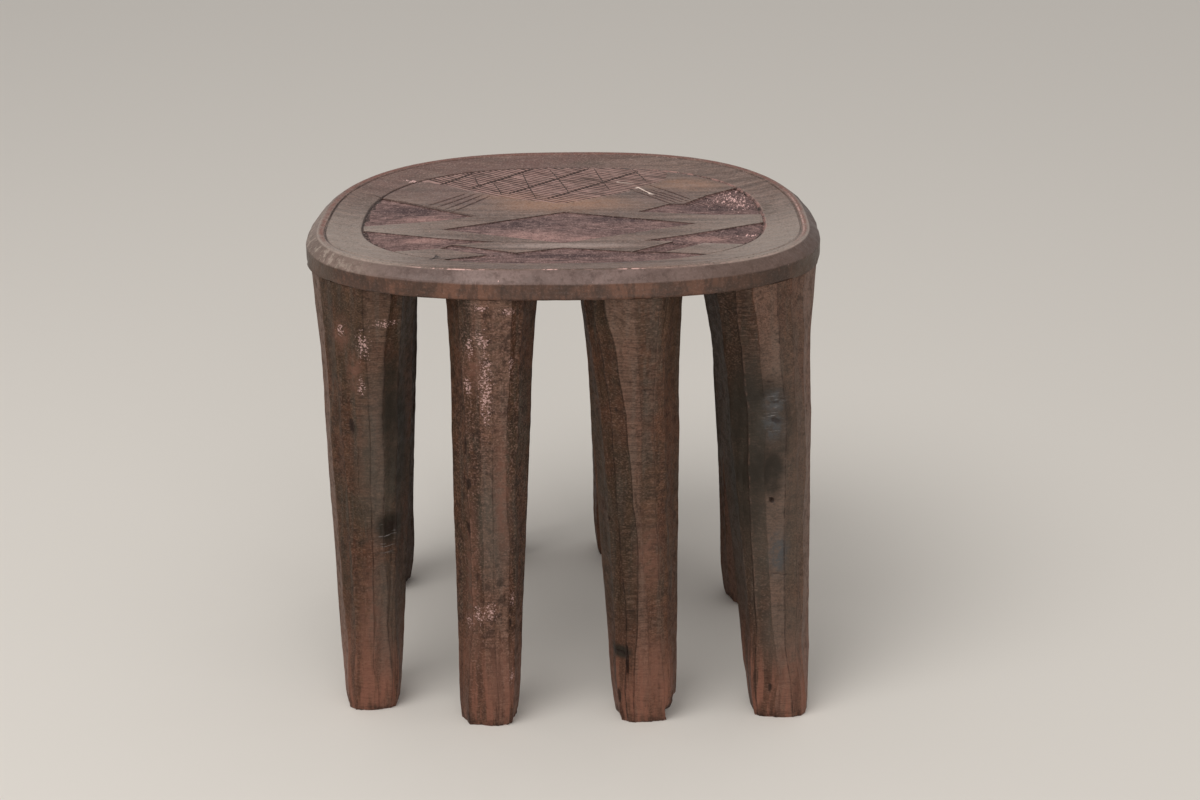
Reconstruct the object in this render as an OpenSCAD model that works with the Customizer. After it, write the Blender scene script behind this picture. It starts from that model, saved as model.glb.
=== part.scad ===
// A low table carved from one block of hardwood: an oval, slightly dished top on eight tapering legs.
// A plain border slopes down from the lip to a flat field, which is carved in low relief with
// a diamond, triangles and a lattice. The legs are dressed with an adze into long narrow flats.
// The block has no joint. Each leg is drawn by itself and meets the underside face to face.

/* [Top] */
// Width of the top across its widest line
top_w = 406; // [370:1:450]
// Depth of the top from front to back
top_d = 367; // [335:1:410]
// Height of the lip above the floor
top_h = 376; // [320:1:450]
// How far the widest line lies in front of the middle
widest_fwd = 48; // [20:1:60]
// Fullness of the outline's shoulders, where 2 is an ellipse
fullness = 2.54; // [2.3:0.01:2.9]
// Height of the rim from its underside to the lip
rim_h = 22; // [18:0.5:32]
// Height of the worn bevel under the lip
bevel_h = 8; // [4:0.5:10]
// Width of the worn bevel in plan
bevel_w = 9.6; // [5:0.1:13]
// Size of the small chamfer round the underside
under_chamfer = 1.5; // [0.5:0.5:3]

/* [Dish and border] */
// Depth of the field below the lip
dish_h = 5.5; // [3:0.5:7]
// Width of the border between the lip and the field
border_w = 32; // [24:1:40]
// Width of the level crest along the lip
crest_w = 2.4; // [1:0.2:4]
// How far the field's own widest line lies in front of the middle
field_fwd = 25; // [10:1:40]
// Height of the step from the border down to the field
field_step = 0.4; // [0.2:0.1:1]
// Distance of the incised border line from the lip
border_line_in = 5.5; // [4.5:0.5:12]

/* [Relief carving] */
// Depth of the sunk triangles and of the diamond below the field
sunk_h = 1.6; // [0.8:0.1:2.4]
// Width of the main incised lines
line_w = 2; // [1:0.1:3]
// Width of the fine incised lines
fine_line_w = 1.2; // [0.8:0.1:2]
// Depth of the main incised lines
line_h = 1.4; // [0.6:0.1:2.4]
// Depth of the fine incised lines
fine_line_h = 0.9; // [0.4:0.1:1.6]
// Number of incised lines in each slanting band
band_lines = 4; // [2:1:6]
// Spacing of the slanting strokes that fill the lattice
hatch_gap = 4.8; // [3.6:0.2:8]
// Width of those strokes
hatch_w = 1.8; // [1:0.1:2.4]
// Depth of those strokes
hatch_h = 0.5; // [0.2:0.1:0.8]
// Slant of those strokes in degrees
hatch_slant = -29; // [-40:1:-15]

/* [Legs] */
// Thickness of a leg across, at the foot
foot_w = 44; // [36:1:50]
// Thickness of a leg in and out, at the foot
foot_d = 40; // [33:1:46]
// Thickness across at the ankle, where the toe begins to taper
ankle_w = 53; // [44:1:58]
// Thickness in and out at the ankle
ankle_d = 49; // [40:1:54]
// Thickness across at the knee, where the leg begins to flare
knee_w = 66; // [54:1:70]
// Thickness in and out at the knee
knee_d = 60; // [52:1:66]
// Width of a leg along the rim where it meets the top
head_w = 80; // [68:1:84]
// Thickness in and out where the leg meets the top
head_d = 66; // [62:1:74]
// How far out from its head a leg's foot stands
splay = 16; // [6:1:20]
// Height of the ankle above the floor
ankle_h = 62; // [30:1:90]
// Height of the flare at the head of a leg
flare_h = 110; // [60:1:140]
// How far the legs are set in from the edge of the top
leg_set_in = 1.5; // [1:0.5:8]
// Number of adzed flats round a leg
leg_flats = 11; // [8:1:14]
// Width and height of the worn edge round the foot
foot_wear = 2; // [1:0.5:4]

/* [Hidden] */

// Each leg has a bearing round the outline, then its shares of the sizes above: its head's width, its
// stoutness, its taper, its splay out and its splay along the rim. The last number is a turn that
// sets where its flats fall. They differ as the work of a hand does.
LEGS = [
    [203.6, 1.30, 1.04, 0.06, 1.31, 1.09, 21],
    [247.1, 0.89, 0.94, -0.02, 0.94, -0.50, 30],
    [292.5, 0.99, 1.02, 0.01, 0.78, 0.52, -2],
    [335.4, 1.44, 1.06, 0.11, 2.68, -1.40, 27],
    [34.5, 1.00, 1.00, 0, 0.25, -0.56, 14],
    [76.0, 0.97, 1.02, 0, 1.00, 0.38, 27],
    [109.0, 0.95, 1.00, 0, 1.06, -0.31, 7],
    [146.5, 1.00, 0.97, 0, 1.44, -1.69, 18]
];

// The lattice's outline on the field, which steps down to the middle and up again
LATTICE = [
    [-0.82, 0.74], [-0.645, 0.62], [-0.565, 0.53], [-0.38, 0.37], [-0.225, 0.29], [-0.06, 0.20],
    [0.02, 0.20], [0.125, 0.28], [0.31, 0.42], [0.40, 0.54], [0.53, 0.70], [0.56, 1.10], [-0.82, 1.10]
];

OUTLINE_POINTS = 96;
ADZE_WANDER = 5; // degrees that a ridge between two flats strays
TOE_STEPS = 4;
SHANK_STEPS = 3;
FLARE_STEPS = 5;
SAW_SPARE = 1; // how far a leg is shaped past its sawn head
CUT_ABOVE = 8; // how far a cut reaches above the surface that it enters

under_z = top_h - rim_h;
field_z = top_h - dish_h;
field_half_w = top_w / 2 - bevel_w - border_w;
field_half_d = top_d / 2 - bevel_w - border_w;
border_slope = (dish_h - field_step) / (border_w - crest_w);

// One point of an oval at the angle a, from its half width, its half depth and how far its
// widest line lies in front of its middle
function oval_point(a, half_w, half_d, fwd) =
    let (reach = sin(a) < 0 ? half_d - fwd : half_d + fwd)
    let (r = pow(pow(abs(cos(a)) / half_w, fullness) + pow(abs(sin(a)) / reach, fullness), -1 / fullness))
    [r * cos(a), r * sin(a) - fwd];

function oval(half_w, half_d, fwd) =
    [for (i = [0 : OUTLINE_POINTS - 1]) oval_point(i * 360 / OUTLINE_POINTS, half_w, half_d, fwd)];

// The outline of the top, drawn in by a distance
function top_outline(inset) = oval(top_w / 2 - inset, top_d / 2 - inset, widest_fwd);

// The outline of the field, drawn in by a distance
function field_outline(inset) = oval(field_half_w - inset, field_half_d - inset, field_fwd);

function at_height(outline, z) = [for (p = outline) [p[0], p[1], z]];

// Two triangles between neighbouring points of two rings of n points
function side_pair(i, j, n) =
    let (a = j * n + i, b = j * n + (i + 1) % n, c = a + n, d = b + n)
    [[a, c, d], [a, d, b]];

// A closed solid through rings with the same number of points, from the lowest ring up
module loft(rings) {
    n = len(rings[0]);
    last = len(rings) - 1;
    polyhedron(
        points = [for (ring = rings) each ring],
        faces = concat(
            [[for (i = [0 : n - 1]) i]],
            [for (j = [0 : last - 1], i = [0 : n - 1]) each side_pair(i, j, n)],
            [[for (i = [n - 1 : -1 : 0]) last * n + i]]
        )
    );
}

// The oval slab with its rim, worn bevel, crest and sloping border
module slab() {
    loft([
        at_height(top_outline(under_chamfer), under_z),
        at_height(top_outline(0), under_z + under_chamfer),
        at_height(top_outline(0), top_h - bevel_h),
        at_height(top_outline(bevel_w), top_h),
        at_height(top_outline(bevel_w + crest_w), top_h),
        at_height(field_outline(0), field_z + field_step)
    ]);
}

// A place on the field, from -1 to 1 across and from front to back
function on_field(p) = [p[0] * field_half_w, p[1] * field_half_d];

module field_shape(points) {
    polygon([for (p = points) on_field(p)]);
}

// A straight stroke of width w between two places on the field
module stroke(from, to, w) {
    a = on_field(from);
    b = on_field(to);
    side = [b[1] - a[1], a[0] - b[0]] * w / 2 / norm(b - a);
    polygon([a - side, b - side, b + side, a + side]);
}

// What is drawn here stays inside the line round the field
module inside_field() {
    intersection() {
        polygon(field_outline(line_w));
        union() children();
    }
}

// The sunk ground of the relief, which leaves the smooth bands and triangles standing
module sunk_shapes() {
    inside_field() {
        // diamond in the middle
        field_shape([[-0.60, -0.33], [0, -0.62], [0.66, -0.25], [0, 0.01]]);
        // triangle at the left side
        field_shape([[-1.06, 0.43], [-0.45, -0.07], [-0.63, -0.16], [-1.08, -0.28]]);
        // triangle and sliver at the right side
        field_shape([[0.60, 0.15], [0.73, 0.34], [1.02, 0.63], [1.10, -0.02], [0.86, 0.06]]);
        field_shape([[0.37, 0], [0.53, 0.15], [0.86, 0.03], [1.10, -0.06], [0.98, -0.08], [0.74, -0.08]]);
        // left and right triangles towards the front
        field_shape([[-1.06, -0.31], [-0.62, -0.49], [-0.33, -0.58], [-0.53, -0.63],
                     [-0.59, -0.70], [-0.81, -0.75], [-1.00, -0.84]]);
        field_shape([[1.06, -0.19], [0.62, -0.46], [0.39, -0.58], [0.53, -0.60],
                     [0.51, -0.64], [0.68, -0.64], [0.89, -0.67], [1.04, -0.70]]);
        // slanting straps that run down to the front
        field_shape([[-0.59, -0.70], [-0.53, -0.63], [-0.22, -0.79], [-0.34, -0.84]]);
        field_shape([[0.53, -0.60], [0.68, -0.64], [0.49, -0.80], [0.33, -0.79]]);
        // crescent along the front
        field_shape([[-0.60, -0.92], [-0.34, -0.82], [-0.22, -0.79], [0, -0.70], [0.34, -0.79],
                     [0.49, -0.80], [0.72, -0.85], [0.60, -1.10], [-0.50, -1.10]]);
    }
}

// The main incised lines: the side triangles' upper edges and the lattice's slanting lines
module main_lines() {
    inside_field() {
        stroke([-1.02, 0.40], [-0.42, -0.08], line_w);
        stroke([0.58, 0.13], [1.10, -0.03], line_w);
        stroke([-0.49, 0.90], [-0.66, 0.62], line_w);
        stroke([-0.17, 0.99], [-0.50, 0.53], line_w);
        stroke([0.13, 1.05], [-0.30, 0.40], line_w);
        stroke([0.43, 0.95], [-0.11, 0.27], line_w);
        stroke([0.43, 0.59], [0.65, 0.24], line_w);
    }
}

// The fine incised lines: those that cross the lattice, and the two slanting bands
module fine_lines() {
    inside_field() {
        stroke([-0.48, 0.80], [-0.44, 0.55], fine_line_w);
        stroke([-0.375, 0.64], [-0.325, 0.38], fine_line_w);
        stroke([-0.23, 0.88], [-0.14, 0.27], fine_line_w);
        stroke([-0.09, 0.97], [0.02, 0.43], fine_line_w);
        stroke([0.15, 0.99], [0.235, 0.46], fine_line_w);
        stroke([0.35, 0.97], [0.43, 0.64], fine_line_w);
        band([-0.50, 0.44], [-0.70, 0.16], [-0.38, 0.38], [-0.56, 0.04]);
        band([0.44, 0.48], [0.64, 0.20], [0.35, 0.46], [0.55, 0.15]);
    }
}

// The slanting strokes that fill the lattice, side by side from its lowest corner to its highest
module hatch_lines() {
    across = [-sin(hatch_slant), cos(hatch_slant)];
    reaches = [for (p = LATTICE) on_field(p) * across];
    inside_field()
        intersection() {
            field_shape(LATTICE);
            for (i = [ceil(min(reaches) / hatch_gap) : floor(max(reaches) / hatch_gap)])
                rotate(hatch_slant)
                    translate([-top_w / 2, i * hatch_gap - hatch_w / 2])
                        square([top_w, hatch_w]);
        }
}

// Lines side by side, from one that joins a to b as far as one that joins c to d
module band(a, b, c, d) {
    for (i = [0 : band_lines - 1]) {
        share = i / (band_lines - 1);
        stroke(a + (c - a) * share, b + (d - b) * share, fine_line_w);
    }
}

// A ring between two outlines
module outline_ring(outer, inner) {
    difference() {
        polygon(outer);
        polygon(inner);
    }
}

module cut(surface_z, depth) {
    translate([0, 0, surface_z - depth])
        linear_extrude(depth + CUT_ABOVE)
            children();
}

module table_top() {
    color("#5a463c")
    difference() {
        slab();
        cut(field_z, 0) polygon(field_outline(line_w / 2));
        cut(field_z, sunk_h) sunk_shapes();
        cut(field_z, line_h) main_lines();
        cut(field_z, fine_line_h) fine_lines();
        cut(field_z, hatch_h) hatch_lines();
        cut(field_z, line_h)
            outline_ring(field_outline(0), field_outline(line_w));
        cut(top_h - (border_line_in - crest_w) * border_slope, line_h)
            outline_ring(top_outline(bevel_w + border_line_in), top_outline(bevel_w + border_line_in + line_w));
    }
}

// Thickness of a leg at the height z: a short toe, a straight shank and a flare into the top
function leg_size(z, foot, ankle, knee, head) =
    let (flare_z = under_z - flare_h)
    z < ankle_h ? ankle - (ankle - foot) * pow(1 - z / ankle_h, 2) :
    z < flare_z ? ankle + (knee - ankle) * (z - ankle_h) / (flare_z - ankle_h) :
    knee + (head - knee) * pow((z - flare_z) / flare_h, 2);

// Heights of the rings of a leg, from the top of the worn edge to just above the underside
function leg_heights() = concat(
    [foot_wear],
    [for (i = [1 : TOE_STEPS]) foot_wear + (ankle_h - foot_wear) * i / TOE_STEPS],
    [for (i = [1 : SHANK_STEPS]) ankle_h + (under_z - flare_h - ankle_h) * i / SHANK_STEPS],
    [for (i = [1 : FLARE_STEPS]) under_z - flare_h + flare_h * i / FLARE_STEPS],
    [under_z + SAW_SPARE]
);

// One ring of a leg: a many-sided section with uneven flats, about the point c
function leg_ring(c, w, d, turn, z) = [
    for (i = [0 : leg_flats - 1])
        let (a = i * 360 / leg_flats + turn + ADZE_WANDER * sin(i * 137 + turn * 29))
        [c[0] + w / 2 * cos(a), c[1] + d / 2 * sin(a), z]
];

// One leg in its own place, where x runs along the rim, y runs outward and its head is about the
// origin. It is shaped a little too long and sawn level at both ends. A leg with more taper is
// thinner at its foot and thicker at its knee.
module leg_form(own_head_w, stoutness, taper, out, along, turn) {
    foot = stoutness * (1 - taper);
    knee = stoutness * (1 + taper);
    function ring_at(z, size_z, less) =
        leg_ring(
            [along, out] * (1 - z / under_z),
            leg_size(size_z, foot_w * foot, ankle_w * stoutness, knee_w * knee, own_head_w) - less,
            leg_size(size_z, foot_d * foot, ankle_d * stoutness, knee_d * knee, head_d * stoutness) - less,
            turn, z
        );
    intersection() {
        loft(concat(
            [ring_at(-foot_wear, foot_wear, 4 * foot_wear)],
            [for (z = leg_heights()) ring_at(z, z, 0)]
        ));
        translate([-top_w, -top_w, 0])
            cube([2 * top_w, 2 * top_w, under_z]);
    }
}

module leg(i) {
    bearing = LEGS[i][0];
    p = oval_point(bearing, top_w / 2, top_d / 2, widest_fwd);
    ahead = oval_point(bearing + 0.1, top_w / 2, top_d / 2, widest_fwd)
          - oval_point(bearing - 0.1, top_w / 2, top_d / 2, widest_fwd);
    outward = [ahead[1], -ahead[0]] / norm(ahead);
    centre = p - outward * (leg_set_in + head_d * LEGS[i][2] / 2);
    color("#453229")
    translate([centre[0], centre[1], 0])
        rotate([0, 0, atan2(outward[1], outward[0]) - 90])
            leg_form(head_w * LEGS[i][1], LEGS[i][2], LEGS[i][3], splay * LEGS[i][4], -splay * LEGS[i][5], LEGS[i][6]);
}

table_top();
leg(0);  // leg_left_front
leg(1);  // leg_front_left
leg(2);  // leg_front_right
leg(3);  // leg_right_front
leg(4);  // leg_right_rear
leg(5);  // leg_rear_right
leg(6);  // leg_rear_left
leg(7);  // leg_left_rear
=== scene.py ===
from math import acos, atan2, ceil, copysign, cos, degrees, hypot, pi, radians, sin

import bmesh
import bpy
from mathutils import Matrix, Vector, noise


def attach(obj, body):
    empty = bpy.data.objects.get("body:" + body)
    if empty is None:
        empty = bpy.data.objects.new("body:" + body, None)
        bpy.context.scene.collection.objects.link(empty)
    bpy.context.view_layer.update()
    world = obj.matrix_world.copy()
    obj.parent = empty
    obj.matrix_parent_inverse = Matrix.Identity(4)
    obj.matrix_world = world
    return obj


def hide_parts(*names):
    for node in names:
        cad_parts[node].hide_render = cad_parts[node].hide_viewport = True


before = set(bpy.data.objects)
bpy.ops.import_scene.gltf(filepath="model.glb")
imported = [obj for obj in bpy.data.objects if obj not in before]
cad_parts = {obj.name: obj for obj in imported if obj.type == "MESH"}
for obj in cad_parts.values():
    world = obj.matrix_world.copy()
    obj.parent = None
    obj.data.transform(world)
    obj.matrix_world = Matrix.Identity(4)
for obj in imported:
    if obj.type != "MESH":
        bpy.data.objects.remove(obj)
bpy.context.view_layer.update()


# Camera, daylight and floor.
# The camera stands at the photograph's own place, and the light is a soft overcast sky with a
# broad glow from the front, as in open shade.

scene = bpy.context.scene
scene.view_settings.view_transform = "Standard"

SEEN_FROM = Vector((0.0278, -1.8794, 0.9030))
camera = bpy.data.objects.new("camera", bpy.data.cameras.new("camera"))
camera.data.lens = 72
camera.data.sensor_width = 36
camera.matrix_world = (
    Matrix.Translation(SEEN_FROM)
    @ Matrix.Rotation(radians(69.7), 4, "X")
    @ Matrix.Rotation(radians(-0.512), 4, "Z")
)
scene.collection.objects.link(camera)
scene.camera = camera


def area_light(name, place, target, size, watts, colour):
    light = bpy.data.lights.new(name, "AREA")
    light.shape = "DISK"
    light.size = size
    light.energy = watts
    light.color = colour
    lamp = bpy.data.objects.new(name, light)
    toward = Vector(target) - Vector(place)
    lamp.matrix_world = Matrix.Translation(place) @ toward.to_track_quat("-Z", "Y").to_matrix().to_4x4()
    scene.collection.objects.link(lamp)


area_light("sky_glow", (-0.9, -1.2, 2.6), (0, 0, 0.3), size=1.8, watts=34, colour=(1, 0.99, 0.97))
area_light("front_glow", (0.5, -3.2, 1.0), (0, 0, 0.2), size=2.2, watts=26, colour=(1, 0.98, 0.96))

world = bpy.data.worlds.new("world")
world.use_nodes = True
scene.world = world
sky_tree = world.node_tree
sky = sky_tree.nodes["Background"]
sky.inputs["Color"].default_value = (1, 0.985, 0.965, 1)
sky.inputs["Strength"].default_value = 0.55
seen_sky = sky_tree.nodes.new("ShaderNodeBackground")
seen_sky.inputs["Color"].default_value = (1, 1, 1, 1)
seen_sky.inputs["Strength"].default_value = 1
which_ray = sky_tree.nodes.new("ShaderNodeLightPath")
sky_mix = sky_tree.nodes.new("ShaderNodeMixShader")
sky_tree.links.new(which_ray.outputs["Is Camera Ray"], sky_mix.inputs[0])
sky_tree.links.new(sky.outputs[0], sky_mix.inputs[1])
sky_tree.links.new(seen_sky.outputs[0], sky_mix.inputs[2])
sky_tree.links.new(sky_mix.outputs[0], sky_tree.nodes["World Output"].inputs["Surface"])

floor_mesh = bpy.data.meshes.new("floor")
bm = bmesh.new()
bmesh.ops.create_circle(bm, cap_ends=True, segments=64, radius=9)
bm.to_mesh(floor_mesh)
bm.free()
floor = bpy.data.objects.new("floor", floor_mesh)
scene.collection.objects.link(floor)
floor_paint = bpy.data.materials.new("floor_paint")
floor_paint.use_nodes = True
floor_shader = floor_paint.node_tree.nodes["Principled BSDF"]
floor_shader.inputs["Base Color"].default_value = (0.74, 0.70, 0.65, 1)
floor_shader.inputs["Roughness"].default_value = 0.9
floor_mesh.materials.append(floor_paint)


# The top of the table.
# It is the crown of a block of dark hardwood, hewn to an oval and hollowed a little. The plain
# border and the field in low relief were cut with a knife and a chisel, then stained and oiled.

TOP_W, TOP_D, TOP_H = 0.406, 0.367, 0.376
TOP_FWD = 0.048
OVAL_FULLNESS = 2.54
UNDER_Z = 0.354
BEVEL_W = 0.0096
BORDER_W = 0.032
FIELD_Z = 0.3705
FIELD_FWD = 0.025
FIELD_HALF_W = TOP_W / 2 - BEVEL_W - BORDER_W
FIELD_HALF_D = TOP_D / 2 - BEVEL_W - BORDER_W


def oval(angle, half_w, half_d, forward):
    """A point of the oval outline at an angle round a centre that lies forward of the middle."""
    reach = half_d - forward if sin(angle) < 0 else half_d + forward
    across, deep = abs(cos(angle)) / half_w, abs(sin(angle)) / reach
    r = (across ** OVAL_FULLNESS + deep ** OVAL_FULLNESS) ** (-1 / OVAL_FULLNESS)
    return Vector((r * cos(angle), r * sin(angle) - forward))


def top_edge(angle, inset):
    return oval(angle, TOP_W / 2 - inset, TOP_D / 2 - inset, TOP_FWD)


def field_edge(angle, inset):
    return oval(angle, FIELD_HALF_W - inset, FIELD_HALF_D - inset, FIELD_FWD)


def smooth(low, high, x):
    """Rises from 0 at low to 1 at high, or falls where low is the higher."""
    t = min(1, max(0, (x - low) / (high - low)))
    return t * t * (3 - 2 * t)


def drift(x, y, z=0.0):
    """Smooth chance between about -1 and 1."""
    return noise.noise(Vector((x, y, z)))


def chance(*seeds):
    """A number from -1 to 1 that depends only on the seeds."""
    return noise.cell(Vector([s * 7.31 + 0.5 for s in (list(seeds) + [0, 0])[:3]]))


def link_piece(name, mesh, material):
    piece = bpy.data.objects.new(name, mesh)
    scene.collection.objects.link(piece)
    mesh.materials.clear()
    mesh.materials.append(material)
    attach(piece, "root")
    return piece


def skin(rings, marks=()):
    """A closed bmesh through rings of points with the same count, flat at both ends.
    Each point may carry one value for each mark, which is kept as a named value on its vertex."""
    bm = bmesh.new()
    layers = [bm.verts.layers.float.new(mark) for mark in marks]
    around = len(rings[0])
    bmesh.ops.create_grid(bm, x_segments=around, y_segments=len(rings) - 1, size=1)
    bm.verts.ensure_lookup_table()
    for j, ring in enumerate(rings):
        for i in range(around + 1):
            vert = bm.verts[j * (around + 1) + i]
            point = ring[i % around]
            vert.co = point[:3]
            for layer, value in zip(layers, point[3:]):
                vert[layer] = value
    bmesh.ops.remove_doubles(bm, verts=bm.verts, dist=1e-7)
    bmesh.ops.holes_fill(bm, edges=bm.edges, sides=0)
    bmesh.ops.recalc_face_normals(bm, faces=bm.faces)
    return bm


def to_mesh(name, bm, sharp):
    mesh = bpy.data.meshes.new(name)
    for face in bm.faces:
        face.smooth = True
    bm.to_mesh(mesh)
    bm.free()
    mesh.set_sharp_from_angle(angle=radians(sharp))
    return mesh


def hewn_inset(angle, corners, seed):
    """How deep a hewn flat lies inside a round outline, where the flats meet at the corners."""
    k = max(i for i, c in enumerate(corners) if c <= angle)
    low = corners[k]
    high = corners[k + 1] if k + 1 < len(corners) else 2 * pi
    t = (angle - low) / (high - low)
    ends = [0.0003 + 0.0003 * chance(seed, i % len(corners)) for i in (k, k + 1)]
    return ends[0] * (1 - t) + ends[1] * t + 2.0 * t * (1 - t) * (0.0005 + 0.0004 * chance(seed + 1, k))


AROUND = 384
BAND_CORNERS = [2 * pi * (i + 0.42 * chance(i, 3)) / 50 if i else 0 for i in range(50)]
BEVEL_CORNERS = [2 * pi * (i + 0.42 * chance(i, 5)) / 40 if i else 0 for i in range(40)]


def rim_point(angle, row):
    """A point of the rim's section at an angle. The rows run from the underside up the band and the
    bevel, over the lip and through its line, down the border, and through the ring cut to the field."""
    band = hewn_inset(angle, BAND_CORNERS, 11)
    bevel = hewn_inset(angle, BEVEL_CORNERS, 23)
    c, s = cos(angle), sin(angle)
    wave = drift(3 * c, 3 * s, 1)
    small = drift(14 * c, 14 * s, 2)
    front = smooth(-0.55, -0.80, s)
    back = smooth(0.55, 0.9, s)
    line_depth = 0.0012 * (1 - 0.9 * front) * (1 - 0.5 * back) * (0.8 + 0.4 * drift(9 * c, 9 * s, 3))
    # The flats of the corner legs run into the rim at two places, where it has no chamfer below.
    to_run_in = min(abs(degrees(angle) - 195), abs(degrees(angle) - 342))
    apart = 1 - smooth(10, 4, to_run_in)
    outer = {
        0: ((0.0019 + 0.0006 * small) * apart + 0.0002, UNDER_Z),
        1: (0.0009 * apart + band, UNDER_Z + 0.0006),
        2: (0.0003 * apart + band, UNDER_Z + 0.0018),
        3: (0.0002 + band, UNDER_Z + 0.005),
        4: (0.0003 + band + 0.0002 * wave, UNDER_Z + 0.009),
        5: (0.0002 + band * 0.8, TOP_H - 0.0088 - 1.6 * bevel + 0.0004 * small),
        6: (0.0007 + band * 0.6 + bevel * 0.3, TOP_H - 0.0076 - 1.6 * bevel + 0.0004 * small),
        7: (0.0030 + bevel, TOP_H - 0.0050 - 0.6 * bevel),
        8: (0.0062 + bevel, TOP_H - 0.0023 - 0.3 * bevel),
        9: (0.0086 + 0.3 * bevel + 0.0003 * wave, TOP_H - 0.0007),
        10: (0.0102 + 0.0004 * wave, TOP_H + 0.00005 * small),
        11: (0.0120 + 0.0004 * wave, TOP_H - 0.0001),
        12: (0.0136 + 0.0004 * wave, TOP_H - 0.0006 - 0.0002 * small),
    }
    if row in outer:
        inset, z = outer[row]
        p = top_edge(angle, inset)
        return p.x, p.y, z
    lip = top_edge(angle, 0.0144 + 0.0005 * wave)
    edge = field_edge(angle, 0)
    share, z = {
        13: (0, -0.0007),
        14: (0.022, -0.0008 - line_depth),
        15: (0.052, -0.0009 - 0.9 * line_depth),
        16: (0.078, -0.0010),
        17: (0.2, -0.0017),
        18: (0.34, -0.0025),
        19: (0.5, -0.0034),
        20: (0.66, -0.0042),
        21: (0.83, -0.0048),
        22: (0.96, -0.0051),
    }.get(row, (1, 0))
    if row <= 22:
        p = lip.lerp(edge, share)
        hollow = 0.00035 * drift(22 * p.x, 60 * p.y, 4) if row > 16 else 0
        return p.x, p.y, TOP_H + z + hollow
    ring_depth = 0.0013 * (1 - 0.75 * smooth(-0.55, -0.9, s)) * (0.85 + 0.3 * small)
    inset, z = {
        23: (0, 0.0003),
        24: (0.0009, -ring_depth),
        25: (0.0015, -ring_depth * 0.8),
        26: (0.0023 + 0.0002 * small, 0),
    }[row]
    p = field_edge(angle, inset)
    return p.x, p.y, FIELD_Z + z


slab_rings = [[rim_point(2 * pi * i / AROUND, row) for i in range(AROUND)] for row in range(27)]
slab_bm = skin(slab_rings)
# The level field is divided into small squares, so that each knife cut meets a simple face. They
# are set a little off the middle, so that their sides miss the vertices there.
SQUARE_W, SQUARES_OFF = 0.0058, 0.0003
# An edge of the top that turns by more degrees than this stays crisp.
SHARP_DEG = 9
for direction in (Vector((1, 0, 0)), Vector((0, 1, 0))):
    for i in range(-28, 29):
        level = [f for f in slab_bm.faces
                 if f.normal.z > 0.99 and abs(f.calc_center_median().z - FIELD_Z) < 1e-6]
        edges = {e for f in level for e in f.edges}
        verts = {v for f in level for v in f.verts}
        parts = level + list(edges) + list(verts)
        place = direction * (i * SQUARE_W + SQUARES_OFF)
        bmesh.ops.bisect_plane(slab_bm, geom=parts, dist=1e-7, plane_co=place, plane_no=direction)
top_mesh = to_mesh("table_top_carved", slab_bm, sharp=SHARP_DEG)


def on_field(p):
    """A place on the field, from -1 to 1 across and from front to back."""
    return Vector((p[0] * FIELD_HALF_W, p[1] * FIELD_HALF_D))


def stroke(bm, start, end, width, depth, z=FIELD_Z, steps=6, bend=0.0):
    """Adds the body of one knife stroke: a long double-ended wedge with its edge down."""
    a, b = Vector((*start, z)), Vector((*end, z))
    along = b - a
    turn = along.to_track_quat("X", "Z").to_matrix().to_4x4()
    place = Matrix.Translation((a + b) / 2) @ turn
    made = bmesh.ops.create_uvsphere(bm, u_segments=4, v_segments=steps, radius=1)
    for vert in made["verts"]:
        x, y, h = vert.co.z, vert.co.x, vert.co.y
        full = max(0.0, 1 - x * x) ** 0.5
        swell = (full ** 0.35) / full if full > 1e-6 else 0
        side = bend * (1 - x * x)
        vert.co = place @ Vector((x * along.length / 2, y * swell * width / 2 + side, h * swell * depth))


def carve(mesh, cutter_bm, operation="DIFFERENCE"):
    """Takes the cutter's body out of the mesh and returns the new mesh."""
    bmesh.ops.recalc_face_normals(cutter_bm, faces=cutter_bm.faces)
    cutter_mesh = bpy.data.meshes.new("cutter")
    cutter_bm.to_mesh(cutter_mesh)
    cutter_bm.free()
    cutter = bpy.data.objects.new("cutter", cutter_mesh)
    body = bpy.data.objects.new("body", mesh)
    scene.collection.objects.link(cutter)
    scene.collection.objects.link(body)
    knife = body.modifiers.new("knife", "BOOLEAN")
    knife.object = cutter
    knife.operation = operation
    knife.solver = "MANIFOLD"
    view = bpy.context.evaluated_depsgraph_get()
    carved = bpy.data.meshes.new_from_object(body.evaluated_get(view))
    bpy.data.objects.remove(body)
    bpy.data.objects.remove(cutter)
    bpy.data.meshes.remove(cutter_mesh)
    bpy.data.meshes.remove(mesh)
    return carved


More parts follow.
